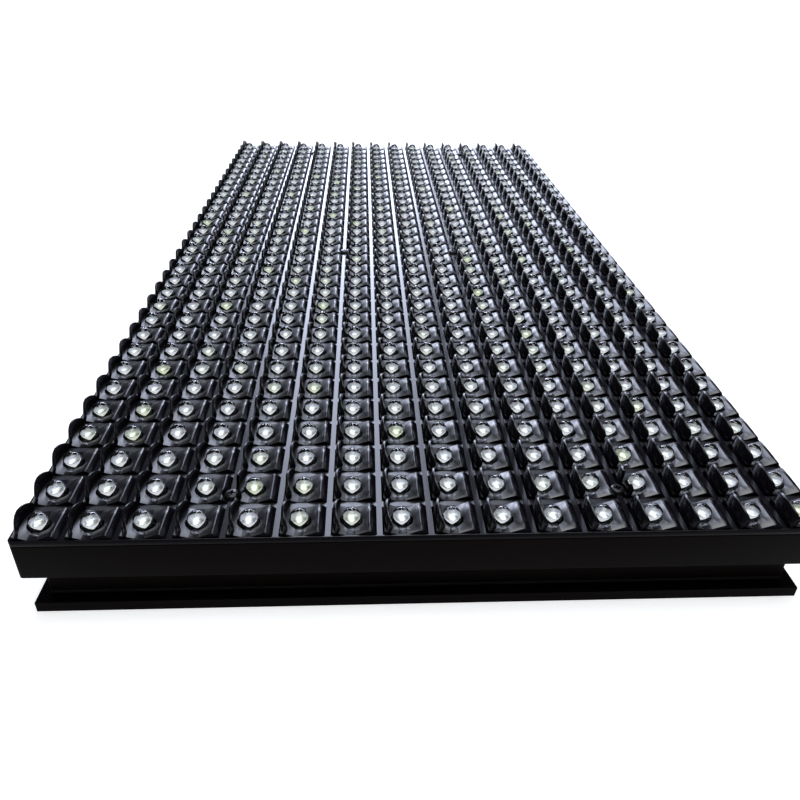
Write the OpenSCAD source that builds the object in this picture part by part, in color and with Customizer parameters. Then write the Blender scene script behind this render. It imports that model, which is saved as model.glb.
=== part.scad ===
// Outdoor LED display panel: round LEDs behind a hooded louvre mask, in a stepped
// case closed by a flat rear cover. It lies on its rear cover with the LEDs up.

/* [Matrix] */
// Distance between neighbouring LEDs
pixel_pitch = 10; // [10:0.5:12]
// Diameter of an LED lens
led_d = 3.9; // [3.4:0.1:4.2]
// Height of a lens tip above the mask's strips
led_rise = 2.9; // [2.2:0.1:3.4]

/* [Mask] */
// Thickness of the mask plate at its strips
mask_t = 1.4; // [1.2:0.1:2]
// Thickness of a hood
hood_t = 0.7; // [0.6:0.1:1]
// Height of a hood's middle above the strips
hood_rise = 4; // [3.6:0.1:4.6]
// Height of a hood's ends above the strips
hood_end = 2.4; // [1.6:0.1:3]
// Distance that a hood leans over toward its LED
hood_lean = 0.6; // [0:0.1:0.8]
// Length of a hood and its pad along the column
hood_l = 8.3; // [7:0.1:8.8]
// Height of a pad's ridge above the strips
ridge_rise = 1; // [0.6:0.1:1.5]
// Width of the flat strip between two columns
strip_w = 1.1; // [0.8:0.1:1.3]
// Gap between a lens and its hole in the mask
lens_gap = 0.3; // [0.2:0.05:0.4]

/* [Case] */
// Distance from the pixel grid's edge to the case's side
case_inset = 0.5; // [0.3:0.1:1]
// Height of the tray under the mask
case_h = 8.2; // [7.4:0.1:11]
// Thickness of the tray's walls
case_wall = 1.6; // [1.2:0.1:1.8]
// Height of the recessed waist between tray and rear cover
waist_h = 7.6; // [6.6:0.1:12]
// Distance from the tray's side to the waist
waist_inset = 3.4; // [2:0.1:4]
// Thickness of the waist's wall
waist_wall = 2; // [1.5:0.1:2.5]

/* [Rear cover] */
// Thickness of the rear cover
cover_t = 2.4; // [2:0.1:4]
// Distance from the tray's side to the rear cover's edge
cover_inset = 0.8; // [0.4:0.1:1.6]
// Spacing of the corner inserts across the panel
insert_pitch_x = 120; // [100:1:124]
// Spacing of the corner inserts along the panel
insert_pitch_y = 280; // [250:1:284]
// Bore of a threaded insert
insert_bore_d = 2.5; // [2:0.1:3.3]

/* [Board] */
// Thickness of the circuit board
board_t = 1.6; // [1:0.1:2]
// Distance from the mask down to the circuit board
board_drop = 3; // [2.6:0.1:3.2]

/* [Hidden] */
$fn = 32;
cut = 1;

// Grid of LEDs
led_columns = 16;
led_rows = 32;
function column_x(c) = (c - (led_columns - 1) / 2) * pixel_pitch;
function row_y(r) = (r - (led_rows - 1) / 2) * pixel_pitch;
function column_name(c) = str("led_column_", c < 9 ? "0" : "", c + 1);

// Levels above the rear face
gasket_t = 0.8;
waist_z = cover_t + gasket_t;
tray_z = cover_t + waist_h;
mask_z = tray_z + case_h;
strip_z = mask_z + mask_t;
board_top = mask_z - board_drop;
board_z = board_top - board_t;

// Outlines
case_w = led_columns * pixel_pitch - 2 * case_inset;
case_l = led_rows * pixel_pitch - 2 * case_inset;
waist_w = case_w - 2 * waist_inset;
waist_l = case_l - 2 * waist_inset;
cover_w = case_w - 2 * cover_inset;
cover_l = case_l - 2 * cover_inset;
board_gap = 0.4;
board_w = case_w - 2 * case_wall - 2 * board_gap;
board_l = case_l - 2 * case_wall - 2 * board_gap;

// Section of one mask column, from its LED's axis at strip level
ridge_x = 3.9;
ridge_foot_x = 5;
hood_x = ridge_foot_x + strip_w - pixel_pitch;
dish_floor = 0.1;
dish_side = 0.9;
arch_drop = hood_rise - hood_end;
arch_r = (hood_l * hood_l / 4 + arch_drop * arch_drop) / (2 * arch_drop);
lens_hole_d = led_d + 2 * lens_gap;

// LED below its lens
led_rim_d = led_d + 0.5;
led_rim_h = 0.8;
led_barrel_h = strip_z + led_rise - led_d / 2 - board_top;

// Mask screws, each in the strip right of a column and a little before a row's LEDs
mask_screw_cells = [[3, 1], [11, 1], [5, 15], [9, 15], [3, 30], [11, 30]];
screw_before = 1.75;
screw_sink = 0.5;
screw_head_d = 3.2;
screw_head_h = 1.3;
screw_hole_d = 2.4;
screw_shank_d = 2;
screw_bite = 6;
mask_post_d = 4.4;
head_room_d = screw_head_d + 0.6;
mask_screw_l = strip_z - screw_sink - board_z + screw_bite;

// Cover screws into bosses along the waist's long walls
cover_boss_d = 7;
cover_boss_x = waist_w / 2 - waist_wall - cover_boss_d / 2 + 1;
cover_boss_y = [-0.475, -0.16, 0.16, 0.475] * waist_l;
cover_screw_d = 2.6;
cover_hole_d = 3;
cover_head_d = 5.6;
cover_head_h = 1.5;
cover_screw_l = 7;

// Threaded inserts for fixing the panel from behind
insert_d = 4.6;
insert_l = 6;
insert_boss_d = 9;
insert_boss_h = 5;
insert_places = [
  for (x = [-1, 1], y = [-1, 0, 1]) [x * insert_pitch_x / 2, y * insert_pitch_y / 2]
];

// Sockets for data and power, on the board's rear side
pin_w = 0.64;
pin_pitch = 2.54;
data_pins = 8;
data_y = 0.39 * case_l;
data_w = 28;
data_d = 8.9;
data_h = 8.8;
data_wall = 1.1;
data_floor = 2.4;
data_key_w = 4.5;
data_pin_l = 7.6;
power_pins_n = 4;
power_pitch = 3.96;
power_w = 17;
power_d = 9.4;
power_h = 8.2;
power_wall = 1;
power_floor = 2.6;
power_pin_w = 1.14;
power_pin_l = 7;
window_gap = 2.4;

// Chips and small parts on the board's rear side
chip_x = 0.34 * case_w;
chips_a_side = 8;
chip_pitch = 0.094 * case_l;
chip_y = [for (i = [0:chips_a_side - 1]) (i - (chips_a_side - 1) / 2) * chip_pitch];
chip_t = 1.5;
chip_d = 3.9;
chip_standoff = 0.1;
chip_end = 0.1;
register_leads = 8;
switch_leads = 4;
buffer_leads = 10;
decoder_leads = 8;
lead_w = 0.4;
lead_l = 1.05;
lead_h = 0.7;
lead_pitch = 1.27;
switch_places = [for (x = [-25, 25], y = [-40, 40]) [x, y]];
buffer_places = [[-26, -0.33 * case_l], [26, -0.33 * case_l]];
decoder_place = [0, -0.3 * case_l];
bulk_places = [[-16, 26], [16, 26]];
bulk_d = 8;
bulk_h = 8;
ceramic_size = [2, 1.25, 0.9];
ceramic_dx = -8;
array_size = [1.6, 3.2, 0.6];
array_dx = 8;
array_dy = 3;

module block(w, l, h) {
  translate([-w / 2, -l / 2, 0]) cube([w, l, h]);
}

module at_mask_screws() {
  for (cell = mask_screw_cells)
    translate([
      column_x(cell[0]) + ridge_foot_x + strip_w / 2,
      row_y(cell[1]) - screw_before,
      0
    ])
      children();
}

module at_cover_screws() {
  for (s = [-1, 1], y = cover_boss_y)
    translate([s * cover_boss_x, y, 0]) children();
}

module at_inserts() {
  for (place = insert_places)
    translate([place[0], place[1], 0]) children();
}

// Stands a piece on the board's rear side, growing toward the rear cover
module under_board(x, y) {
  translate([x, y, board_z]) mirror([0, 0, 1]) children();
}

module mask_section() {
  polygon([
    [hood_x, -mask_t],
    [hood_x, 0],
    [hood_x + hood_lean, hood_rise],
    [hood_x + hood_lean + hood_t, hood_rise],
    [hood_x + hood_t, dish_side],
    [0, dish_floor],
    [ridge_x, ridge_rise],
    [ridge_foot_x, 0],
    [hood_x + pixel_pitch, 0],
    [hood_x + pixel_pitch, -mask_t]
  ]);
}

// Every column's section side by side, cut to the case's outline
module mask_blank() {
  rotate([90, 0, 0])
    linear_extrude(height = case_l, center = true)
      intersection() {
        for (c = [-1:led_columns - 1])
          translate([column_x(c), strip_z]) mask_section();
        translate([-case_w / 2, 0]) square([case_w, strip_z + hood_rise]);
      }
  at_mask_screws()
    translate([0, 0, board_top])
      cylinder(d = mask_post_d, h = board_drop + mask_t / 2);
}

module lens_holes() {
  for (c = [0:led_columns - 1], r = [0:led_rows - 1])
    translate([column_x(c), row_y(r), mask_z - cut])
      cylinder(d = lens_hole_d, h = mask_t + ridge_rise + 2 * cut);
}

module mask_screw_holes() {
  at_mask_screws() {
    translate([0, 0, board_top - cut])
      cylinder(d = screw_hole_d, h = board_drop + mask_t + 2 * cut);
    translate([0, 0, strip_z - screw_sink])
      cylinder(d = head_room_d, h = hood_rise + screw_sink + cut);
  }
}

// Outline of a hood seen along its row, upright ends under an arched rim
module hood_outline() {
  intersection() {
    translate([0, hood_rise - arch_r]) circle(r = arch_r);
    translate([-hood_l / 2, -cut]) square([hood_l, hood_rise + 2 * cut]);
  }
}

// The gap between two rows, bounded by the hoods on both sides
module row_gap_outline() {
  difference() {
    translate([-pixel_pitch / 2, 0]) square([pixel_pitch, hood_rise + cut]);
    for (s = [-1, 1])
      translate([s * pixel_pitch / 2, 0]) hood_outline();
  }
}

module row_gaps() {
  for (r = [0:led_rows])
    translate([0, row_y(r) - pixel_pitch / 2, strip_z])
      rotate([90, 0, 90])
        linear_extrude(height = case_w + 2 * cut, center = true)
          row_gap_outline();
}

module front_mask() {
  color([0.06, 0.06, 0.08])
    difference() {
      difference() {
        mask_blank();
        lens_holes();
        mask_screw_holes();
      }
      row_gaps();
    }
}

module mask_screws() {
  color([0.08, 0.08, 0.09])
    at_mask_screws() {
      translate([0, 0, strip_z - screw_sink])
        cylinder(d = screw_head_d, h = screw_head_h);
      translate([0, 0, strip_z - screw_sink - mask_screw_l])
        cylinder(d = screw_shank_d, h = mask_screw_l);
    }
}

module led() {
  rotate_extrude() {
    square([led_rim_d / 2, led_rim_h]);
    square([led_d / 2, led_barrel_h]);
    translate([0, led_barrel_h])
      intersection() {
        circle(d = led_d);
        square(led_d);
      }
  }
}

module led_column(c) {
  color([0.93, 0.94, 0.9])
    for (r = [0:led_rows - 1])
      translate([column_x(c), row_y(r), board_top]) led();
}

// Tray with a ledge for the board, and the waist below it
module front_case() {
  color([0.1, 0.095, 0.08])
    difference() {
      union() {
        translate([0, 0, tray_z]) block(case_w, case_l, case_h);
        difference() {
          translate([0, 0, waist_z]) block(waist_w, waist_l, tray_z - waist_z);
          translate([0, 0, waist_z - cut])
            block(waist_w - 2 * waist_wall, waist_l - 2 * waist_wall, waist_h);
        }
        at_cover_screws()
          translate([0, 0, waist_z]) cylinder(d = cover_boss_d, h = tray_z - waist_z);
      }
      translate([0, 0, board_z])
        block(case_w - 2 * case_wall, case_l - 2 * case_wall, case_h);
      difference() {
        translate([0, 0, tray_z - cut])
          block(waist_w - 2 * waist_wall, waist_l - 2 * waist_wall, case_h);
        at_cover_screws() cylinder(d = cover_boss_d, h = board_z);
      }
      at_cover_screws() cylinder(d = cover_screw_d, h = cover_screw_l + cut);
    }
}

module circuit_board() {
  color([0.08, 0.3, 0.16])
    difference() {
      translate([0, 0, board_z]) block(board_w, board_l, board_t);
      at_mask_screws()
        translate([0, 0, board_z - cut])
          cylinder(d = screw_hole_d, h = board_t + 2 * cut);
    }
}

module case_gasket() {
  color([0.16, 0.16, 0.17])
    translate([0, 0, cover_t])
      difference() {
        block(waist_w, waist_l, gasket_t);
        translate([0, 0, -cut])
          block(waist_w - 2 * waist_wall, waist_l - 2 * waist_wall, gasket_t + 2 * cut);
      }
}

// Flat plate with windows for the sockets, posts for the mask screws and insert bosses
module rear_cover() {
  color([0.07, 0.065, 0.07])
    difference() {
      union() {
        block(cover_w, cover_l, cover_t);
        at_inserts() cylinder(d = insert_boss_d, h = cover_t + insert_boss_h);
        at_mask_screws() cylinder(d = mask_post_d, h = board_z);
      }
      for (s = [-1, 1])
        translate([0, s * data_y, -cut])
          block(data_w + 2 * window_gap, data_d + 2 * window_gap, cover_t + 2 * cut);
      translate([0, 0, -cut])
        block(power_w + 2 * window_gap, power_d + 2 * window_gap, cover_t + 2 * cut);
      at_inserts()
        translate([0, 0, -cut]) cylinder(d = insert_d, h = insert_l + cut);
      at_mask_screws()
        translate([0, 0, board_z - screw_bite])
          cylinder(d = screw_shank_d, h = screw_bite + cut);
      at_cover_screws() {
        translate([0, 0, -cut]) cylinder(d = cover_hole_d, h = cover_t + 2 * cut);
        cylinder(d1 = cover_head_d, d2 = cover_hole_d, h = cover_head_h);
      }
    }
}

module cover_screws() {
  color([0.72, 0.73, 0.75])
    at_cover_screws() {
      cylinder(d1 = cover_head_d, d2 = cover_screw_d, h = cover_head_h);
      cylinder(d = cover_screw_d, h = cover_screw_l);
    }
}

module mount_inserts() {
  color([0.8, 0.65, 0.3])
    at_inserts()
      difference() {
        cylinder(d = insert_d, h = insert_l);
        translate([0, 0, -cut]) cylinder(d = insert_bore_d, h = insert_l + 2 * cut);
      }
}

// Shrouded socket for a ribbon plug, its mouth toward the rear
module data_socket(y) {
  color([0.1, 0.1, 0.11])
    under_board(0, y)
      difference() {
        block(data_w, data_d, data_h);
        translate([0, 0, data_floor])
          block(data_w - 2 * data_wall, data_d - 2 * data_wall, data_h);
        translate([0, data_d / 2, data_floor])
          block(data_key_w, 2 * data_wall + cut, data_h);
        at_data_pins() translate([0, 0, -cut]) block(pin_w, pin_w, data_floor + 2 * cut);
      }
}

module at_data_pins() {
  for (i = [0:data_pins - 1], s = [-1, 1])
    translate([(i - (data_pins - 1) / 2) * pin_pitch, s * pin_pitch / 2, 0]) children();
}

module data_pin_rows(y) {
  color([0.83, 0.7, 0.35])
    under_board(0, y) at_data_pins() block(pin_w, pin_w, data_pin_l);
}

module at_power_pins() {
  for (i = [0:power_pins_n - 1])
    translate([(i - (power_pins_n - 1) / 2) * power_pitch, 0, 0]) children();
}

// Open-topped power socket with a latch wall on one long side
module power_socket() {
  color([0.93, 0.92, 0.88])
    under_board(0, 0)
      difference() {
        block(power_w, power_d, power_h);
        translate([0, -power_wall, power_floor])
          block(power_w - 2 * power_wall, power_d, power_h);
        at_power_pins()
          translate([0, 0, -cut]) block(power_pin_w, power_pin_w, power_floor + 2 * cut);
      }
}

module power_pins() {
  color([0.78, 0.78, 0.8])
    under_board(0, 0) at_power_pins() block(power_pin_w, power_pin_w, power_pin_l);
}

// Moulded chip, long side along the panel, with a row of leads on each side
module chip(leads) {
  body_l = leads * lead_pitch - 2 * chip_end;
  translate([0, 0, chip_standoff]) block(chip_d, body_l, chip_t);
  for (i = [0:leads - 1], s = [-1, 1])
    translate([s * (chip_d + lead_l) / 2, (i - (leads - 1) / 2) * lead_pitch, 0])
      block(lead_l, lead_w, lead_h);
}

module chip_group(places, leads) {
  color([0.12, 0.12, 0.13])
    for (place = places)
      under_board(place[0], place[1]) chip(leads);
}

module at_registers() {
  for (s = [-1, 1], y = chip_y)
    under_board(s * chip_x, y) children();
}

module shift_registers() {
  chip_group([for (s = [-1, 1], y = chip_y) [s * chip_x, y]], register_leads);
}

module row_switches() {
  chip_group(switch_places, switch_leads);
}

module line_buffers() {
  chip_group(buffer_places, buffer_leads);
}

module row_decoder() {
  chip_group([decoder_place], decoder_leads);
}

module bulk_capacitors() {
  color([0.2, 0.22, 0.3])
    for (place = bulk_places)
      under_board(place[0], place[1]) cylinder(d = bulk_d, h = bulk_h);
}

module ceramic_capacitors() {
  color([0.7, 0.6, 0.45])
    at_registers()
      translate([ceramic_dx, 0, 0]) block(ceramic_size[0], ceramic_size[1], ceramic_size[2]);
}

module resistor_arrays() {
  color([0.15, 0.15, 0.16])
    at_registers()
      for (s = [-1, 1])
        translate([array_dx, s * array_dy, 0])
          block(array_size[0], array_size[1], array_size[2]);
}

front_mask();
mask_screws();
front_case();
circuit_board();
case_gasket();
rear_cover();
cover_screws();
mount_inserts();
data_socket(-data_y);  // data_in_socket
data_pin_rows(-data_y);  // data_in_pins
data_socket(data_y);  // data_out_socket
data_pin_rows(data_y);  // data_out_pins
power_socket();
power_pins();
shift_registers();
row_switches();
line_buffers();
row_decoder();
bulk_capacitors();
ceramic_capacitors();
resistor_arrays();
for (c = [0:led_columns - 1])
  led_column(c);
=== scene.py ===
"""Dresses the LED display panel: moulded black plastics, clear LED lenses and a hooded louvre mask."""
import math

import bpy
import numpy as np
from mathutils import Matrix, Vector


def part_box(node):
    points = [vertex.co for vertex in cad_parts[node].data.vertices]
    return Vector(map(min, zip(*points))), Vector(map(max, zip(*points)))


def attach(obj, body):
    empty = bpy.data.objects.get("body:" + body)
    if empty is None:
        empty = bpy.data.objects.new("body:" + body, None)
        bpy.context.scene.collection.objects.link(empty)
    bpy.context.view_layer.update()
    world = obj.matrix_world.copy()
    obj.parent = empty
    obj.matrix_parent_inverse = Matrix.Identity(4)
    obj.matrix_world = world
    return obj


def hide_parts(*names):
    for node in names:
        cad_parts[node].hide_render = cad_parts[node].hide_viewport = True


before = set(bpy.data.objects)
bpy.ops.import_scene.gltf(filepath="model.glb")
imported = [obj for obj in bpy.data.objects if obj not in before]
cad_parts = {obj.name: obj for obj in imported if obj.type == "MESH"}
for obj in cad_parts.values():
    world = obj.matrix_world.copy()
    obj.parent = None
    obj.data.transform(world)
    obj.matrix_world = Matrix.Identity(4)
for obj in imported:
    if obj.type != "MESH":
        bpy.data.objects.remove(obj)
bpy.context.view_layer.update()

# Rear cover: a flat plate moulded in black plastic, with windows for the sockets and a thin edge
# that stands out past the waist. Countersunk screws hold it to the case from behind.
MM = 0.001
CLOUD_DETAIL = 4.0
GRAIN_DETAIL = 2.0
GRAIN_SCALE = 2500.0
GRAIN_STEP = 0.05 * MM
GLOSS_SPREAD = 0.12
MEAN_NOISE = 0.5


def moulded_texture_group():
    """Shader group for moulded plastic: cloudy noise tints the colour and the gloss, and a fine
    noise makes the height of the spark-eroded grain."""
    group = bpy.data.node_groups.new("moulded_texture", "ShaderNodeTree")
    sockets = group.interface
    for name in ("Cloud Scale", "Grain Scale", "Roughness", "Spread"):
        sockets.new_socket(name, in_out="INPUT", socket_type="NodeSocketFloat")
    for name in ("Light", "Dark"):
        sockets.new_socket(name, in_out="INPUT", socket_type="NodeSocketColor")
    sockets.new_socket("Color", in_out="OUTPUT", socket_type="NodeSocketColor")
    for name in ("Roughness", "Height"):
        sockets.new_socket(name, in_out="OUTPUT", socket_type="NodeSocketFloat")
    nodes, links = group.nodes, group.links
    inside = nodes.new("NodeGroupInput")
    outside = nodes.new("NodeGroupOutput")
    place = nodes.new("ShaderNodeTexCoord")
    cloud = nodes.new("ShaderNodeTexNoise")
    cloud.inputs["Detail"].default_value = CLOUD_DETAIL
    grain = nodes.new("ShaderNodeTexNoise")
    grain.inputs["Detail"].default_value = GRAIN_DETAIL
    for texture, scale in ((cloud, "Cloud Scale"), (grain, "Grain Scale")):
        links.new(place.outputs["Object"], texture.inputs["Vector"])
        links.new(inside.outputs[scale], texture.inputs["Scale"])
    tint = nodes.new("ShaderNodeMix")
    tint.data_type = "RGBA"
    links.new(cloud.outputs["Fac"], tint.inputs["Factor"])
    links.new(inside.outputs["Dark"], tint.inputs["A"])
    links.new(inside.outputs["Light"], tint.inputs["B"])
    links.new(tint.outputs["Result"], outside.inputs["Color"])
    centred = nodes.new("ShaderNodeMath")
    centred.operation = "SUBTRACT"
    centred.inputs[1].default_value = MEAN_NOISE
    links.new(cloud.outputs["Fac"], centred.inputs[0])
    gloss = nodes.new("ShaderNodeMath")
    gloss.operation = "MULTIPLY_ADD"
    links.new(centred.outputs[0], gloss.inputs[0])
    links.new(inside.outputs["Spread"], gloss.inputs[1])
    links.new(inside.outputs["Roughness"], gloss.inputs[2])
    links.new(gloss.outputs[0], outside.inputs["Roughness"])
    links.new(grain.outputs["Fac"], outside.inputs["Height"])
    return group


moulded_texture = moulded_texture_group()


def moulded_material(
    name, colour, roughness, specular=0.5, metallic=0.0, contrast=0.25, cloud=40.0, grain_depth=0.1
):
    """Material of a moulded or plated piece: the moulded texture around one colour and roughness. The
    colour swings by contrast to both sides, cloud scales the noise, and grain_depth is how strongly
    the grain shows."""
    material = bpy.data.materials.new(name)
    material.use_nodes = True
    nodes, links = material.node_tree.nodes, material.node_tree.links
    shader = nodes["Principled BSDF"]
    shader.inputs["Metallic"].default_value = metallic
    shader.inputs["Specular IOR Level"].default_value = specular
    texture = nodes.new("ShaderNodeGroup")
    texture.node_tree = moulded_texture
    texture.inputs["Cloud Scale"].default_value = cloud
    texture.inputs["Grain Scale"].default_value = GRAIN_SCALE
    texture.inputs["Roughness"].default_value = roughness
    texture.inputs["Spread"].default_value = GLOSS_SPREAD
    texture.inputs["Dark"].default_value = (*(c * (1 - contrast) for c in colour), 1)
    texture.inputs["Light"].default_value = (*(c * (1 + contrast) for c in colour), 1)
    bump = nodes.new("ShaderNodeBump")
    bump.inputs["Strength"].default_value = grain_depth
    bump.inputs["Distance"].default_value = GRAIN_STEP
    links.new(texture.outputs["Color"], shader.inputs["Base Color"])
    links.new(texture.outputs["Roughness"], shader.inputs["Roughness"])
    links.new(texture.outputs["Height"], bump.inputs["Height"])
    links.new(bump.outputs["Normal"], shader.inputs["Normal"])
    return material


def dress(node, material):
    """Gives a carried-over solid its material, in place of the plain one."""
    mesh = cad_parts[node].data
    mesh.materials.clear()
    mesh.materials.append(material)


COVER_BLACK = (0.0036, 0.0021, 0.002)
cover_plastic = moulded_material("cover_plastic", COVER_BLACK, roughness=0.42, specular=0.02)
dress("rear_cover", cover_plastic)

# Cover screws and threaded inserts: zinc-plated countersunk screws, and turned brass inserts that
# are pressed into the cover's bosses and take the fixing screws from behind.
METAL_CONTRAST = 0.1


def metal_material(name, colour, roughness, contrast=METAL_CONTRAST):
    """Material of a plated or turned metal piece: the moulded texture, fully metallic."""
    return moulded_material(name, colour, roughness, metallic=1.0, contrast=contrast)


zinc_plate = metal_material("zinc_plate", (0.55, 0.56, 0.58), roughness=0.3)
insert_brass = metal_material("insert_brass", (0.62, 0.46, 0.18), roughness=0.28, contrast=0.12)
dress("cover_screws", zinc_plate)
dress("mount_inserts", insert_brass)

# Gasket: a flat ring cut from black rubber sheet. The cover's screws squeeze it between the cover and
# the waist, so that rain stays out of the case.
gasket_rubber = moulded_material("gasket_rubber", (0.020, 0.020, 0.021), roughness=0.75, specular=0.2)
dress("case_gasket", gasket_rubber)

# Front case: one moulding in black plastic, a shallow tray with a recessed waist below it. Every
# edge has the small radius of the mould, so a fine dark seam shows under the mask.
case_low, case_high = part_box("front_case")
TRAY_HEIGHT = 8.2 * MM
TRAY_WALL = 1.6 * MM
WAIST_INSET = 3.4 * MM
WAIST_WALL = 2.0 * MM
EDGE_RADIUS = 0.25 * MM
CORNER_RADIUS = 0.8 * MM
LEAST_CORNER = 0.25
FILLET_STEPS = 4
CORNER_STEPS = 5
CASE_CREASE = math.radians(50)
CASE_BLACK = (0.0055, 0.0040, 0.0034)


def stacked_mesh(name, loops, places=None, wrap=False):
    """Mesh of one closed form, or of copies of it: loops of points, counter-clockwise about the way
    they are stacked, joined loop to loop by quads. A wrapped form joins its last loop to its first,
    and any other is closed by its two end loops. loops is (loop, point, 3), or one such array a copy."""
    forms = loops if loops.ndim == 4 else loops[None]
    points = forms if places is None else forms + places[:, None, None]
    copies, rings, around = points.shape[:3]
    ring = np.arange(rings if wrap else rings - 1)
    i, j = np.meshgrid(ring, np.arange(around), indexing="ij")
    i_next = (i + 1) % rings
    j_next = (j + 1) % around
    corners = ((i, j), (i, j_next), (i_next, j_next), (i_next, j))
    quads = np.stack([a * around + b for a, b in corners], axis=-1).reshape(-1, 4)
    start = np.arange(copies)[:, None] * rings * around
    faces = (quads[None] + start[..., None]).reshape(-1, 4).tolist()
    if not wrap:
        lid = np.arange(around)
        faces += (lid[::-1] + start).tolist()
        faces += (lid + (rings - 1) * around + start).tolist()
    mesh = bpy.data.meshes.new(name)
    mesh.from_pydata(points.reshape(-1, 3).tolist(), [], faces)
    mesh.polygons.foreach_set("use_smooth", np.ones(len(faces), dtype=bool))
    piece = bpy.data.objects.new(name, mesh)
    bpy.context.scene.collection.objects.link(piece)
    return piece


def filleted(corners, radius, steps):
    """Closed outline with each corner rounded: a quadratic curve from radius before the corner to
    radius after it, or to the middle of a shorter side."""
    corners = np.asarray(corners, dtype=float)

    def toward(other):
        side = other - corners
        length = np.linalg.norm(side, axis=1, keepdims=True)
        return corners + side * np.minimum(radius / length, 0.5)

    enter = toward(np.roll(corners, 1, axis=0))
    leave = toward(np.roll(corners, -1, axis=0))
    t = np.linspace(0, 1, steps)[None, :, None]
    curve = (1 - t) ** 2 * enter[:, None] + 2 * t * (1 - t) * corners[:, None] + t ** 2 * leave[:, None]
    return curve.reshape(-1, corners.shape[1])


def rectangle_loops(low, high, section, corner_radius, steps):
    """Loops of a section carried round a rectangle: at each section point (inset, z) the outline is
    the rectangle drawn in by the inset, with quarter circles at its corners. Their radius shrinks by
    the inset, down to a least share of the outer one."""
    inset, z = section[:, 0, None], section[:, 1, None]
    turn = np.linspace(0, math.pi / 2, steps)
    angle = (np.arange(4)[:, None] * math.pi / 2 + turn[None]).reshape(-1)
    side_x = np.repeat([1, -1, -1, 1], steps)
    side_y = np.repeat([1, 1, -1, -1], steps)
    radius = np.maximum(corner_radius - inset, LEAST_CORNER * corner_radius)
    half_x = (high[0] - low[0]) / 2 - inset - radius
    half_y = (high[1] - low[1]) / 2 - inset - radius
    x = (high[0] + low[0]) / 2 + side_x * half_x + radius * np.cos(angle)
    y = (high[1] + low[1]) / 2 + side_y * half_y + radius * np.sin(angle)
    return np.stack([x, y, np.broadcast_to(z, x.shape)], axis=-1)


board_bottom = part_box("circuit_board")[0].z
tray_bottom = case_high.z - TRAY_HEIGHT
waist_inside = WAIST_INSET + WAIST_WALL
case_section = filleted(
    [
        (WAIST_INSET, case_low.z),
        (WAIST_INSET, tray_bottom),
        (0, tray_bottom),
        (0, case_high.z),
        (TRAY_WALL, case_high.z),
        (TRAY_WALL, board_bottom),
        (waist_inside, board_bottom),
        (waist_inside, case_low.z),
    ],
    EDGE_RADIUS,
    FILLET_STEPS,
)
case_loops = rectangle_loops(case_low, case_high, case_section, CORNER_RADIUS, CORNER_STEPS)
case_shell = stacked_mesh("case_shell", case_loops, wrap=True)
case_shell.data.set_sharp_from_angle(angle=CASE_CREASE)
case_plastic = moulded_material("case_plastic", CASE_BLACK, roughness=0.45, specular=0.02, cloud=25.0)
case_shell.data.materials.append(case_plastic)
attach(case_shell, "root")
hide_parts("front_case")

# Circuit board and what is soldered to its rear side: green solder mask, black moulded chips and
# sockets with gold pins, a white nylon power socket, sleeved cans and fired ceramic chips.
FRONT_BLACK = (0.012, 0.012, 0.014)
LOOKS_UP = 0.5
solder_mask = moulded_material("solder_mask", (0.02, 0.14, 0.055), roughness=0.35, contrast=0.2)


def blacken_front(material, colour):
    """Mixes a dark front into a material: faces whose normal points up in the piece's own axes."""
    nodes, links = material.node_tree.nodes, material.node_tree.links
    shader = nodes["Principled BSDF"]
    own_colour = shader.inputs["Base Color"].links[0].from_socket
    place = nodes.new("ShaderNodeTexCoord")
    axes = nodes.new("ShaderNodeSeparateXYZ")
    links.new(place.outputs["Normal"], axes.inputs["Vector"])
    front = nodes.new("ShaderNodeMath")
    front.operation = "GREATER_THAN"
    front.inputs[1].default_value = LOOKS_UP
    links.new(axes.outputs["Z"], front.inputs[0])
    sides = nodes.new("ShaderNodeMix")
    sides.data_type = "RGBA"
    links.new(front.outputs[0], sides.inputs["Factor"])
    links.new(own_colour, sides.inputs["A"])
    sides.inputs["B"].default_value = (*colour, 1)
    links.new(sides.outputs["Result"], shader.inputs["Base Color"])


blacken_front(solder_mask, FRONT_BLACK)
chip_resin = moulded_material("chip_resin", (0.022, 0.022, 0.024), roughness=0.55, specular=0.4)
socket_plastic = moulded_material("socket_plastic", (0.018, 0.018, 0.02), roughness=0.45, specular=0.4)
power_nylon = moulded_material("power_nylon", (0.80, 0.78, 0.70), roughness=0.4, contrast=0.05)
pin_gold = metal_material("pin_gold", (0.72, 0.55, 0.22), roughness=0.22)
pin_tin = metal_material("pin_tin", (0.66, 0.67, 0.69), roughness=0.28)
can_sleeve = moulded_material("can_sleeve", (0.03, 0.04, 0.09), roughness=0.35)
fired_ceramic = moulded_material("fired_ceramic", (0.42, 0.33, 0.22), roughness=0.5, specular=0.4)
dress("circuit_board", solder_mask)
for chip_group in ("shift_registers", "row_switches", "line_buffers", "row_decoder", "resistor_arrays"):
    dress(chip_group, chip_resin)
for side in ("in", "out"):
    dress(f"data_{side}_socket", socket_plastic)
    dress(f"data_{side}_pins", pin_gold)
dress("power_socket", power_nylon)
dress("power_pins", pin_tin)
dress("bulk_capacitors", can_sleeve)
dress("ceramic_capacitors", fired_ceramic)

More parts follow.
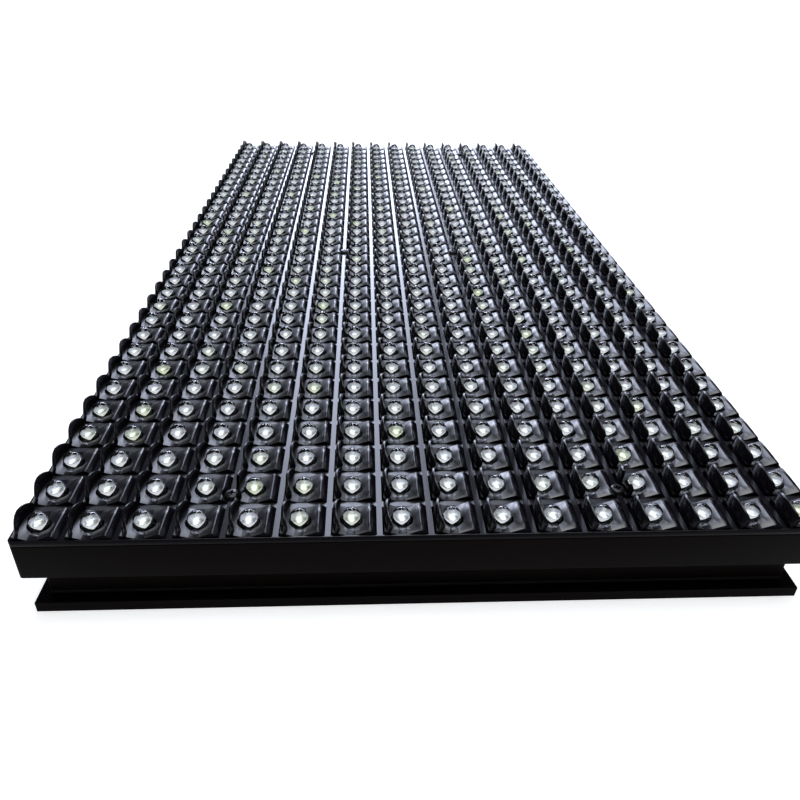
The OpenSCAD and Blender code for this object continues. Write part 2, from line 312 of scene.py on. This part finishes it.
# LEDs: clear resin lenses with a round dome, cast over a white conical cup, given a painted glow, that
# holds a pale phosphor drop. They stand in rows on the board, each a hair off true as hand-placed lamps
# are.
LED_COLUMNS = 16
LED_ROWS = 32
LENS_POINTS = 12
LENS_FLANGE = 0.25 * MM
FLANGE_HEIGHT = 0.8 * MM
DOME_ANGLES = np.radians([0, 28, 56, 82])
LENS_CREASE = math.radians(60)
MOST_LEAN = math.radians(3.0)
LEAN_SPREAD = 0.4
LED_SEED = 7
led_nodes = [f"led_column_{number:02d}" for number in range(1, LED_COLUMNS + 1)]
led_boxes = [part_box(node) for node in led_nodes]
led_low, led_high = led_boxes[0]
flange_radius = (led_high.x - led_low.x) / 2
lens_radius = flange_radius - LENS_FLANGE
lens_top = led_high.z - led_low.z
column_x = np.array([(low.x + high.x) / 2 for low, high in led_boxes])
row_y = np.linspace(led_low.y + flange_radius, led_high.y - flange_radius, LED_ROWS)
led_places = np.stack(np.meshgrid(column_x, row_y, [led_low.z], indexing="ij"), axis=-1).reshape(-1, 3)
pitch = column_x[1] - column_x[0]


def turned_loops(section, points):
    """Loops of a section (radius, z) turned about the z axis, from its lowest point to its highest."""
    section = np.asarray(section, dtype=float)
    angle = np.arange(points) * 2 * math.pi / points
    radius, z = section[:, 0, None], section[:, 1, None]
    x = radius * np.cos(angle)
    y = radius * np.sin(angle)
    return np.stack([x, y, np.broadcast_to(z, x.shape)], axis=-1)


def leaning(loops, lean):
    """Copies of loops, each sheared sideways by its own lean, in proportion to the height."""
    copies = np.repeat(loops[None], len(lean), axis=0)
    copies[..., :2] += lean[:, None, None] * copies[..., 2:]
    return copies


dome_centre = lens_top - lens_radius
dome_radius = lens_radius * np.cos(DOME_ANGLES)
dome_z = dome_centre + lens_radius * np.sin(DOME_ANGLES)
lens_section = np.concatenate(
    [
        [(flange_radius, 0), (flange_radius, FLANGE_HEIGHT), (lens_radius, FLANGE_HEIGHT)],
        np.stack([dome_radius, dome_z], axis=-1),
    ]
)
rng = np.random.default_rng(LED_SEED)
lens_lean = np.clip(rng.normal(0, LEAN_SPREAD, (len(led_places), 2)), -1, 1) * math.tan(MOST_LEAN)
lens_forms = leaning(turned_loops(lens_section, LENS_POINTS), lens_lean)
led_lenses = stacked_mesh("led_lenses", lens_forms, led_places)
led_lenses.data.set_sharp_from_angle(angle=LENS_CREASE)
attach(led_lenses, "root")
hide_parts(*led_nodes)

RESIN_TINT = (0.97, 0.98, 0.96)
RESIN_IOR = 1.5
RESIN_REFLECTION = 0.9
POLISH_SCALE = 900.0
FINEST_POLISH = 0.02
COARSEST_POLISH = 0.07


def lens_resin_material():
    """Clear polished resin: full transmission with faint unevenness in its polish. Shadow rays pass,
    so that the cup inside is lit."""
    material = bpy.data.materials.new("lens_resin")
    material.use_nodes = True
    nodes, links = material.node_tree.nodes, material.node_tree.links
    shader = nodes["Principled BSDF"]
    shader.inputs["Base Color"].default_value = (*RESIN_TINT, 1)
    shader.inputs["Transmission Weight"].default_value = 1.0
    shader.inputs["IOR"].default_value = RESIN_IOR
    shader.inputs["Specular IOR Level"].default_value = RESIN_REFLECTION
    polish = nodes.new("ShaderNodeTexNoise")
    polish.inputs["Scale"].default_value = POLISH_SCALE
    place = nodes.new("ShaderNodeTexCoord")
    links.new(place.outputs["Object"], polish.inputs["Vector"])
    gloss = nodes.new("ShaderNodeMapRange")
    gloss.inputs["To Min"].default_value = FINEST_POLISH
    gloss.inputs["To Max"].default_value = COARSEST_POLISH
    links.new(polish.outputs["Fac"], gloss.inputs["Value"])
    links.new(gloss.outputs["Result"], shader.inputs["Roughness"])
    path = nodes.new("ShaderNodeLightPath")
    clear = nodes.new("ShaderNodeBsdfTransparent")
    through = nodes.new("ShaderNodeMixShader")
    links.new(path.outputs["Is Shadow Ray"], through.inputs["Fac"])
    links.new(shader.outputs["BSDF"], through.inputs[1])
    links.new(clear.outputs["BSDF"], through.inputs[2])
    links.new(through.outputs["Shader"], nodes["Material Output"].inputs["Surface"])
    return material


led_lenses.data.materials.append(lens_resin_material())

CUP_POINTS = 10
CUP_RADIUS = 1.15 * MM
CUP_HEIGHT = 1.4 * MM
CUP_BELOW_DOME = 0.1 * MM
CUP_RADIUS_SHARES = (0.12, 0.96, 1.0, 0.62, 0.2)
CUP_DEPTH_SHARES = (1.0, 0.18, 0.0, 0.3, 0.34)
YELLOW_RARITY = 5
cup_rim = dome_centre - CUP_BELOW_DOME
cup_section = [
    (radius * CUP_RADIUS, cup_rim - depth * CUP_HEIGHT)
    for radius, depth in zip(CUP_RADIUS_SHARES, CUP_DEPTH_SHARES)
]
cup_loops = turned_loops(cup_section, CUP_POINTS)
led_cups = stacked_mesh("led_cups", leaning(cup_loops, lens_lean), led_places)
along_section = np.repeat(np.linspace(0, 1, len(cup_section)), CUP_POINTS)
cup_course = led_cups.data.attributes.new("along_section", "FLOAT", "POINT")
cup_course.data.foreach_set("value", np.tile(along_section, len(led_places)))
yellow_share = rng.uniform(0, 1, len(led_places)) ** YELLOW_RARITY
cup_tint = led_cups.data.attributes.new("yellow_share", "FLOAT", "POINT")
cup_tint.data.foreach_set("value", np.repeat(yellow_share, len(along_section)))
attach(led_cups, "root")
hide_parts(*led_nodes)

CUP_FINISH = (
    (0.9, 0.91, 0.94),
    (0.8, 0.81, 0.84),
    (0.12, 0.12, 0.13),
    (0.5, 0.52, 0.53),
    (0.75, 0.78, 0.72),
)
# Painted glow of the cups: emission colours along the section, standing in for light although the LEDs
# are not lit.
CUP_PAINTED_GLOW = (
    (0.92, 0.95, 1.0),
    (0.86, 0.89, 0.95),
    (0.03, 0.03, 0.03),
    (0.03, 0.03, 0.03),
    (0.1, 0.105, 0.09),
)
CUP_STOPS = (0.25, 0.5, 0.75)
CUP_ROUGHNESS = 0.4
# Strength of the cups' painted glow.
PAINTED_GLOW_STRENGTH = 0.75
YELLOW_TINT = (0.94, 1.0, 0.7)
PLATED_FROM = 0.5
PLATED_FULL = 0.75
PLATED_SHARE = 0.9


def cup_material():
    """Bright cup with a phosphor drop: the colour runs along the cup's section, white on its cone, dark
    at the rim, and pale yellow green on the drop inside, and some cups are yellower than others. The
    cone has a painted glow, an emission that stands in for light though the LEDs are not lit, and the
    glow fades toward the rim. From the rim inwards the cup is plated."""
    material = bpy.data.materials.new("cup_and_phosphor")
    material.use_nodes = True
    nodes, links = material.node_tree.nodes, material.node_tree.links
    shader = nodes["Principled BSDF"]
    shader.inputs["Roughness"].default_value = CUP_ROUGHNESS
    course = nodes.new("ShaderNodeAttribute")
    course.attribute_name = "along_section"
    share = nodes.new("ShaderNodeAttribute")
    share.attribute_name = "yellow_share"
    for tones, socket in ((CUP_FINISH, "Base Color"), (CUP_PAINTED_GLOW, "Emission Color")):
        ramp = nodes.new("ShaderNodeValToRGB")
        stops = ramp.color_ramp.elements
        stops[0].color = (*tones[0], 1)
        stops[1].color = (*tones[-1], 1)
        for position, tone in zip(CUP_STOPS, tones[1:-1]):
            stops.new(position).color = (*tone, 1)
        links.new(course.outputs["Fac"], ramp.inputs["Fac"])
        tint = nodes.new("ShaderNodeMix")
        tint.data_type = "RGBA"
        tint.blend_type = "MULTIPLY"
        links.new(share.outputs["Fac"], tint.inputs["Factor"])
        links.new(ramp.outputs["Color"], tint.inputs["A"])
        tint.inputs["B"].default_value = (*YELLOW_TINT, 1)
        links.new(tint.outputs["Result"], shader.inputs[socket])
    plated = nodes.new("ShaderNodeMapRange")
    plated.inputs["From Min"].default_value = PLATED_FROM
    plated.inputs["From Max"].default_value = PLATED_FULL
    plated.inputs["To Max"].default_value = PLATED_SHARE
    links.new(course.outputs["Fac"], plated.inputs["Value"])
    links.new(plated.outputs["Result"], shader.inputs["Metallic"])
    # The cup's painted glow: it shines though the LED is not lit.
    shader.inputs["Emission Strength"].default_value = PAINTED_GLOW_STRENGTH
    return material


led_cups.data.materials.append(cup_material())

# Louvre mask: one moulding in bluish black plastic. Each LED stands in a dished pad between a thin
# arched hood and a ridge, flat strips run between the columns, and narrow grooves part the rows.
mask_low, mask_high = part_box("front_mask")
MASK_PLATE = 1.4 * MM
HOOD_RISE = 4.0 * MM
HOLE_ROOM = 0.3 * MM
HOLE_RADIUS = lens_radius + HOLE_ROOM
CREST_X = 3.55 * MM
CREST_WIDTH = 0.5 * MM
CREST_FALL = 0.15 * MM
RIDGE_FOOT_X = 5.0 * MM
RIDGE_RISE = 0.95 * MM
STRIP_WIDTH = 1.1 * MM
FLOOR_LEFT = 0.9 * MM
FLOOR_RIGHT = 0.9 * MM
LEFT_SLOPE = math.tan(math.radians(17))
PAD_LENGTH = 8.3 * MM
PAD_EDGE = 0.06 * MM
PAD_FROM_HOOD = 0.35 * MM
PAD_END_POINTS = 4
PAD_SIDE_POINTS = 2
OVER_THE_CREST = ((1, 0), (0.3, 0.4), (-0.5, 1))
DISH_COURSE = 4
MASK_CREASE = math.radians(50)
PLATE_RIM = 0.3 * MM
SCREW_CELLS = np.array([(3, 1), (11, 1), (5, 15), (9, 15), (3, 30), (11, 30)])
SCREW_BEFORE = 1.75 * MM
SCREW_ROOM = 1.9 * MM
SCREW_REACH = 0.75
SCREW_SIDE_POINTS = 22
LEAST_DISTANCE = 0.1 * MM
strip_z = mask_high.z - HOOD_RISE
mask_bottom = strip_z - MASK_PLATE
hood_x = RIDGE_FOOT_X + STRIP_WIDTH - pitch
pad_left_x = hood_x + PAD_FROM_HOOD
cell_places = led_places.copy()
cell_places[:, 2] = strip_z
screw_x = column_x[SCREW_CELLS[:, 0]] + RIDGE_FOOT_X + STRIP_WIDTH / 2
screw_y = row_y[SCREW_CELLS[:, 1]] - SCREW_BEFORE
screw_places = np.column_stack([screw_x, screw_y])


def dish_height(line):
    """Height of a pad over the strips at points (x, y): a flat floor, a plane that climbs to the hood
    on the left and one that climbs to the ridge on the right, whose crest is a parabola. Both ends are
    rounded off by a quarter circle."""
    x, y = line[:, 0], line[:, 1]
    left = LEFT_SLOPE * (-FLOOR_LEFT - x)
    right = RIDGE_RISE * (x - FLOOR_RIGHT) / (CREST_X - FLOOR_RIGHT)
    crest = RIDGE_RISE - CREST_FALL * ((x - CREST_X) / CREST_WIDTH) ** 2
    over_end = np.clip((np.abs(y) - PAD_LENGTH / 2) / PAD_EDGE + 1, 0, 1)
    end_fall = PAD_EDGE * (1 - np.sqrt(1 - over_end ** 2))
    return np.maximum(np.maximum(left, np.minimum(right, crest)), 0) - end_fall


def pad_outline(left, right, half_length, side_points):
    """Points round a pad, counter-clockwise from its near left corner: its four corners, the two folds
    of the floor at both ends, and side_points between the corners of each long side."""
    end_x = np.array([left, -FLOOR_LEFT, FLOOR_RIGHT, right])
    side_y = half_length * np.linspace(-1, 1, side_points + 2)[1:-1]
    near = np.column_stack([end_x, np.full(PAD_END_POINTS, -half_length)])
    ridge = np.column_stack([np.full(side_points, right), side_y])
    far = np.column_stack([end_x[::-1], np.full(PAD_END_POINTS, half_length)])
    wall = np.column_stack([np.full(side_points, left), side_y[::-1]])
    return np.concatenate([near, ridge, far, wall])


def pad_loops(side_points):
    """Loops of one pad with its hole: from the plate's underside up its outer walls and the back of the
    ridge, over a rounded edge in three loops, inwards down the dish, and down the hole's wall. Each of
    the three lies some crest widths past the crest and some edge radii in from the pad's ends."""
    foot = pad_outline(pad_left_x, RIDGE_FOOT_X, PAD_LENGTH / 2, side_points)
    wall_top, crest, edge = (
        pad_outline(
            pad_left_x, CREST_X + past * CREST_WIDTH, PAD_LENGTH / 2 - inset * PAD_EDGE, side_points
        )
        for past, inset in OVER_THE_CREST
    )
    toward = pad_outline(pad_left_x, CREST_X, HOLE_RADIUS, side_points)
    angle = np.arctan2(toward[:, 1], toward[:, 0])
    hole = HOLE_RADIUS * np.stack([np.cos(angle), np.sin(angle)], axis=-1)
    courses = [
        (foot, -MASK_PLATE),
        (foot, 0),
        (wall_top, dish_height(wall_top)),
        (crest, dish_height(crest)),
        (edge, dish_height(edge)),
        (hole, dish_height(hole)),
        (hole, -MASK_PLATE),
    ]
    return np.stack([np.column_stack([line, np.broadcast_to(z, len(line))]) for line, z in courses])


def pads_at(name, places, side_points):
    """Pads at their places: the last column's ends at the plate's rim, and what stands above the plate
    is moved straight away from a screw's axis, to the wall of the round room for the screw's head. The
    slopes of the dish take the second material, and the floor and the walls the first."""
    form = pad_loops(side_points)
    forms = np.repeat(form[None], len(places), axis=0)
    rim_x = (mask_high.x - PLATE_RIM - places[:, 0])[:, None, None]
    forms[..., 0] = np.minimum(forms[..., 0], rim_x)
    for screw in screw_places:
        away = forms[..., :2] + places[:, None, None, :2] - screw
        distance = np.linalg.norm(away, axis=-1)
        near = (distance < SCREW_ROOM) & (forms[..., 2] > -MASK_PLATE / 2)
        push = np.where(near, SCREW_ROOM / np.maximum(distance, LEAST_DISTANCE) - 1, 0)
        forms[..., :2] += push[..., None] * away
    piece = stacked_mesh(name, forms, places, wrap=True)
    piece.data.set_sharp_from_angle(angle=MASK_CREASE)
    course, point = np.indices(form.shape[:2])
    near_floor = 1
    far_floor = near_floor + PAD_END_POINTS + side_points
    slope = (course == DISH_COURSE) & ~np.isin(point, (near_floor, far_floor))
    second_material = np.tile(slope.reshape(-1).astype(int), len(places))
    piece.data.polygons.foreach_set("material_index", second_material)
    return piece


to_screw = np.linalg.norm(cell_places[:, None, :2] - screw_places, axis=-1).min(axis=1)
beside_screw = to_screw < SCREW_REACH * pitch
mask_pads = pads_at("mask_pads", cell_places[~beside_screw], PAD_SIDE_POINTS)
screw_pads = pads_at("screw_pads", cell_places[beside_screw], SCREW_SIDE_POINTS)

HOOD_STATIONS = 11
HOOD_THICKNESS = 0.62 * MM
HOOD_ROUND = 0.2 * MM
HOOD_DROP = 1.6 * MM
HOOD_CORNER = 0.6 * MM
HOOD_ACROSS = np.array([0, 0, 0.28, 0.72, 1, 1]) * HOOD_THICKNESS
HOOD_BELOW = np.array([0, 1, 0, 0, 1, 0]) * HOOD_ROUND
FOOT_BOW = 0.3 * MM
RIM_LEAN = 0.5 * MM
RIM_BOW = 0.95 * MM
NOTCH_HALF = 1.55 * MM


def hood_forms(span):
    """Loops of hoods, each over its own span of y: at every station a thin section leans from its foot
    to an arched rim. Foot and rim bow toward the LED by the square of the distance from the middle,
    the rim falls by the same square, and its two end corners are rounded."""
    share = (1 - np.cos(np.linspace(0, math.pi, HOOD_STATIONS))) / 2
    y = span[:, :1] + (span[:, 1:] - span[:, :1]) * share
    bend = (2 * y / PAD_LENGTH) ** 2
    corner = np.clip((np.abs(y) - PAD_LENGTH / 2) / HOOD_CORNER + 1, 0, 1)
    top = HOOD_RISE - HOOD_DROP * bend - HOOD_CORNER * (1 - np.sqrt(1 - corner ** 2))
    z = top[..., None] - HOOD_BELOW
    z[..., [0, -1]] = -MASK_PLATE
    climb = np.clip(z / top[..., None], 0, 1)
    foot = hood_x + FOOT_BOW * bend
    lean = RIM_LEAN + (RIM_BOW - FOOT_BOW) * bend
    x = foot[..., None] + lean[..., None] * climb + HOOD_ACROSS
    return np.stack([x, np.broadcast_to(y[..., None], x.shape), z], axis=-1)


notched = (SCREW_CELLS[:, 0] + 1) * LED_ROWS + SCREW_CELLS[:, 1]
whole_span = PAD_LENGTH / 2 * np.array([-1, 1])
hood_spans = np.tile(whole_span, (len(cell_places) + len(notched), 1))
hood_spans[notched, 0] = NOTCH_HALF - SCREW_BEFORE
hood_spans[len(cell_places):, 1] = -NOTCH_HALF - SCREW_BEFORE
hood_places = np.concatenate([cell_places, cell_places[notched]])
mask_hoods = stacked_mesh("mask_hoods", hood_forms(hood_spans), hood_places)


def plate_loops(low_x, high_x, low_y, high_y, face_z):
    """Loops of flat fields of the mask plate: four corners at its underside and four on its face."""
    x = np.stack([low_x, high_x, high_x, low_x], axis=-1)
    y = np.stack([low_y, low_y, high_y, high_y], axis=-1)
    levels = [np.stack([x, y, np.full(x.shape, z)], axis=-1) for z in (mask_bottom, face_z)]
    return np.stack(levels, axis=1)


first_y, last_y = mask_low.y + PLATE_RIM, mask_high.y - PLATE_RIM
strip_low_x = np.concatenate([[mask_low.x + PLATE_RIM], column_x[:-1] + RIDGE_FOOT_X])
strip_high_x = column_x + hood_x
strip_low_y = np.full(LED_COLUMNS, first_y)
strip_high_y = np.full(LED_COLUMNS, last_y)
strip_loops = plate_loops(strip_low_x, strip_high_x, strip_low_y, strip_high_y, strip_z)
mask_strips = stacked_mesh("mask_strips", strip_loops)

GROOVE_DEPTH = 0.12 * MM
groove_low_y = np.concatenate([[first_y], row_y + PAD_LENGTH / 2])
groove_high_y = np.concatenate([row_y - PAD_LENGTH / 2, [last_y]])
groove_column, groove_row = (grid.reshape(-1) for grid in np.indices((LED_COLUMNS, LED_ROWS + 1)))
groove_loops = plate_loops(
    column_x[groove_column] + hood_x,
    np.minimum(column_x[groove_column] + RIDGE_FOOT_X, mask_high.x - PLATE_RIM),
    groove_low_y[groove_row],
    groove_high_y[groove_row],
    strip_z - GROOVE_DEPTH,
)
mask_grooves = stacked_mesh("mask_grooves", groove_loops)

RIM_ROUND = 0.1 * MM
RIM_STEPS = 4
rim_round = RIM_ROUND * (1 - np.cos(np.linspace(0, math.pi / 2, RIM_STEPS)))
rim_section = np.concatenate(
    [
        [(RIM_ROUND, mask_bottom), (0, mask_bottom + RIM_ROUND)],
        np.stack([rim_round, strip_z - rim_round[::-1]], axis=-1),
        [(PLATE_RIM, strip_z), (PLATE_RIM, mask_bottom)],
    ]
)
rim_loops = rectangle_loops(mask_low, mask_high, rim_section, CORNER_RADIUS, CORNER_STEPS)
mask_rim = stacked_mesh("mask_rim", rim_loops, wrap=True)

MASK_COLOUR = (0.0042, 0.0038, 0.0058)
MASK_CLOUD = 60.0
MASK_GRAIN = 0.08
MATT_LEVEL = 0.02


def mask_plastic(name, roughness, matt_below, polished_above, polished):
    """Moulded material of the mask. Upright walls keep the mould's matt grain and reflect little, and
    faces that look up are polished: the level follows the height of the normal in the piece's axes."""
    material = moulded_material(name, MASK_COLOUR, roughness, cloud=MASK_CLOUD, grain_depth=MASK_GRAIN)
    nodes, links = material.node_tree.nodes, material.node_tree.links
    place = nodes.new("ShaderNodeTexCoord")
    axes = nodes.new("ShaderNodeSeparateXYZ")
    links.new(place.outputs["Normal"], axes.inputs["Vector"])
    level = nodes.new("ShaderNodeMapRange")
    level.inputs["From Min"].default_value = matt_below
    level.inputs["From Max"].default_value = polished_above
    level.inputs["To Min"].default_value = MATT_LEVEL
    level.inputs["To Max"].default_value = polished
    links.new(axes.outputs["Z"], level.inputs["Value"])
    links.new(level.outputs["Result"], nodes["Principled BSDF"].inputs["Specular IOR Level"])
    return material


mask_polish = mask_plastic("mask_polish", 0.2, matt_below=0.15, polished_above=0.6, polished=0.42)
pad_polish = mask_plastic("pad_polish", 0.26, matt_below=0.7, polished_above=0.92, polished=0.35)
pad_satin = mask_plastic("pad_satin", 0.34, matt_below=0.7, polished_above=0.92, polished=1.0)
for mask_piece in (mask_pads, screw_pads):
    mask_piece.data.materials.append(pad_polish)
    mask_piece.data.materials.append(pad_satin)
for mask_piece in (mask_hoods, mask_strips, mask_rim):
    mask_piece.data.materials.append(mask_polish)
mask_grooves.data.materials.append(pad_satin)
for mask_piece in (mask_hoods, mask_strips, mask_grooves, mask_rim):
    mask_piece.data.set_sharp_from_angle(angle=MASK_CREASE)
for mask_piece in (mask_pads, screw_pads, mask_hoods, mask_strips, mask_grooves, mask_rim):
    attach(mask_piece, "root")
    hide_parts("front_mask")

# Mask screws: small blackened steel screws with a rounded head and a cross recess, driven from the
# front through the strips and the board into posts of the rear cover.
screws_low, screws_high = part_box("mask_screws")
HEAD_RADIUS = 1.6 * MM
HEAD_HEIGHT = 1.3 * MM
HEAD_EDGE = 0.55 * MM
HEAD_SHOULDER = 0.2 * MM
SHOULDER_SHARE = 0.86
CROWN_SHARE = 0.62
SHANK_RADIUS = 1.0 * MM
RECESS_DEPTH = 0.6 * MM
RECESS_MOUTH = 0.36
RECESS_FLOOR = 0.30
RECESS_ARMS = 4
RECESS_REACH = 0.45
SCREW_POINTS = 32
SCREW_CREASE = math.radians(40)
head_top = screws_high.z - screws_low.z
head_under = head_top - HEAD_HEIGHT
screw_section = [
    (SHANK_RADIUS, 0),
    (SHANK_RADIUS, head_under),
    (HEAD_RADIUS, head_under),
    (HEAD_RADIUS, head_top - HEAD_EDGE),
    (SHOULDER_SHARE * HEAD_RADIUS, head_top - HEAD_SHOULDER),
    (CROWN_SHARE * HEAD_RADIUS, head_top),
    (RECESS_MOUTH * HEAD_RADIUS, head_top),
    (RECESS_FLOOR * HEAD_RADIUS, head_top - RECESS_DEPTH),
]
screw_loops = turned_loops(screw_section, SCREW_POINTS)
recess_angle = np.arange(SCREW_POINTS) * 2 * math.pi / SCREW_POINTS
recess_arms = 1 + RECESS_REACH * np.cos(RECESS_ARMS * recess_angle)
screw_loops[-2:, :, :2] *= recess_arms[None, :, None]
screw_bases = np.column_stack([screw_places, np.full(len(screw_places), screws_low.z)])
mask_screw_set = stacked_mesh("mask_screw_set", screw_loops, screw_bases)
mask_screw_set.data.set_sharp_from_angle(angle=SCREW_CREASE)
black_screw = moulded_material("black_screw", (0.012, 0.012, 0.014), roughness=0.3, metallic=0.4)
mask_screw_set.data.materials.append(black_screw)
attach(mask_screw_set, "root")
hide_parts("mask_screws")

# Studio: a pale matte floor that the panel lies on. It is seen white by the camera and in reflections,
# and keeps the panel's soft shadow.
FLOOR_SIZE = 30.0
FLOOR_TONE = 0.9
FLOOR_ROUGHNESS = 0.9
SHADOW_REACH = 0.2
WHITE_REACH = 1.6
NEAR_LIFT = 0.58
FAR_LIFT = 0.95


def floor_material():
    """Pale matte floor that keeps the panel's shadow, lifted to white where the camera, a glossy
    surface or a clear one sees it, more so the farther it lies from the panel."""
    material = bpy.data.materials.new("pale_floor")
    material.use_nodes = True
    nodes, links = material.node_tree.nodes, material.node_tree.links
    shader = nodes["Principled BSDF"]
    shader.inputs["Base Color"].default_value = (FLOOR_TONE, FLOOR_TONE, FLOOR_TONE, 1)
    shader.inputs["Roughness"].default_value = FLOOR_ROUGHNESS
    shader.inputs["Specular IOR Level"].default_value = 0.0
    path = nodes.new("ShaderNodeLightPath")
    seen = nodes.new("ShaderNodeMath")
    seen.operation = "MAXIMUM"
    links.new(path.outputs["Is Camera Ray"], seen.inputs[0])
    links.new(path.outputs["Is Glossy Ray"], seen.inputs[1])
    seen_clear = nodes.new("ShaderNodeMath")
    seen_clear.operation = "MAXIMUM"
    links.new(seen.outputs[0], seen_clear.inputs[0])
    links.new(path.outputs["Is Transmission Ray"], seen_clear.inputs[1])
    place = nodes.new("ShaderNodeTexCoord")
    reach = nodes.new("ShaderNodeVectorMath")
    reach.operation = "LENGTH"
    links.new(place.outputs["Object"], reach.inputs[0])
    white = nodes.new("ShaderNodeMapRange")
    white.inputs["From Min"].default_value = SHADOW_REACH
    white.inputs["From Max"].default_value = WHITE_REACH
    white.inputs["To Min"].default_value = NEAR_LIFT
    white.inputs["To Max"].default_value = FAR_LIFT
    links.new(reach.outputs["Value"], white.inputs["Value"])
    lift = nodes.new("ShaderNodeMath")
    lift.operation = "MULTIPLY"
    links.new(seen_clear.outputs[0], lift.inputs[0])
    links.new(white.outputs["Result"], lift.inputs[1])
    shader.inputs["Emission Color"].default_value = (1, 1, 1, 1)
    links.new(lift.outputs[0], shader.inputs["Emission Strength"])
    return material


floor_corners = np.array([[-1, -1], [1, -1], [1, 1], [-1, 1]]) * FLOOR_SIZE / 2
floor_mesh = bpy.data.meshes.new("floor")
floor_mesh.from_pydata(np.column_stack([floor_corners, np.zeros(4)]).tolist(), [], [[0, 1, 2, 3]])
floor_mesh.materials.append(floor_material())
floor = bpy.data.objects.new("floor", floor_mesh)
bpy.context.scene.collection.objects.link(floor)

# Light: a wide soft lamp overhead, a tall narrow one behind the panel that shines along the strips,
# and a low wide card far behind that lights the far rows and draws the rims of the hoods. The room
# itself is dim, and its wall is seen white.
DAYLIGHT = (0.93, 0.96, 1.0)
SKY_BLUE = (0.74, 0.80, 1.0)
ROOM_TINT = (0.82, 0.88, 1.0)
ROOM_LIGHT = 0.06


def soft_lamp(name, place, target, width, height, watts, colour):
    """Rectangular area lamp that faces a target."""
    data = bpy.data.lights.new(name, "AREA")
    data.shape = "RECTANGLE"
    data.size = width
    data.size_y = height
    data.energy = watts
    data.color = colour
    lamp = bpy.data.objects.new(name, data)
    bpy.context.scene.collection.objects.link(lamp)
    lamp.location = place
    lamp.rotation_euler = (Vector(target) - Vector(place)).to_track_quat("-Z", "Y").to_euler()


soft_lamp(
    "overhead_lamp",
    place=(0.1, -0.1, 1.5),
    target=(0, 0, 0),
    width=1.2,
    height=1.2,
    watts=18.0,
    colour=DAYLIGHT,
)
soft_lamp(
    "back_lamp",
    place=(-0.06, 0.95, 0.66),
    target=(-0.02, 0, 0.02),
    width=0.31,
    height=1.25,
    watts=9.2,
    colour=SKY_BLUE,
)
soft_lamp(
    "low_card",
    place=(0, 1.7, 0.33),
    target=(0, 0, 0.02),
    width=2.4,
    height=0.56,
    watts=18.0,
    colour=SKY_BLUE,
)

world = bpy.data.worlds.new("studio")
world.use_nodes = True
world_nodes, world_links = world.node_tree.nodes, world.node_tree.links
dim_room = world_nodes["Background"]
dim_room.inputs["Color"].default_value = (*ROOM_TINT, 1)
dim_room.inputs["Strength"].default_value = ROOM_LIGHT
white_wall = world_nodes.new("ShaderNodeBackground")
white_wall.inputs["Color"].default_value = (1, 1, 1, 1)
room = world_nodes.new("ShaderNodeMixShader")
room_path = world_nodes.new("ShaderNodeLightPath")
world_links.new(room_path.outputs["Is Camera Ray"], room.inputs["Fac"])
world_links.new(dim_room.outputs["Background"], room.inputs[1])
world_links.new(white_wall.outputs["Background"], room.inputs[2])
world_links.new(room.outputs["Shader"], world_nodes["World Output"].inputs["Surface"])
bpy.context.scene.world = world

# Camera: close to the near short side, a little above it, looking down along the columns. It stands
# slightly to the left of the middle and is turned and tilted by a few degrees.
CAMERA_PLACE = np.array([-12.0, -264.2, 115.5]) * MM
CAMERA_LENS = 32.75
CAMERA_SENSOR = 36.0
CAMERA_NEAR = 5.0 * MM
CAMERA_PITCH = math.radians(31.88)
CAMERA_YAW = math.radians(3.19)
CAMERA_ROLL = math.radians(1.25)
camera_data = bpy.data.cameras.new("camera")
camera_data.lens = CAMERA_LENS
camera_data.sensor_width = CAMERA_SENSOR
camera_data.clip_start = CAMERA_NEAR
camera = bpy.data.objects.new("camera", camera_data)
bpy.context.scene.collection.objects.link(camera)
camera.location = CAMERA_PLACE
turn = (
    Matrix.Rotation(-CAMERA_YAW, 3, "Z")
    @ Matrix.Rotation(math.pi / 2 - CAMERA_PITCH, 3, "X")
    @ Matrix.Rotation(CAMERA_ROLL, 3, "Z")
)
camera.rotation_euler = turn.to_euler("XYZ")
bpy.context.scene.camera = camera
bpy.context.scene.view_settings.view_transform = "Standard"
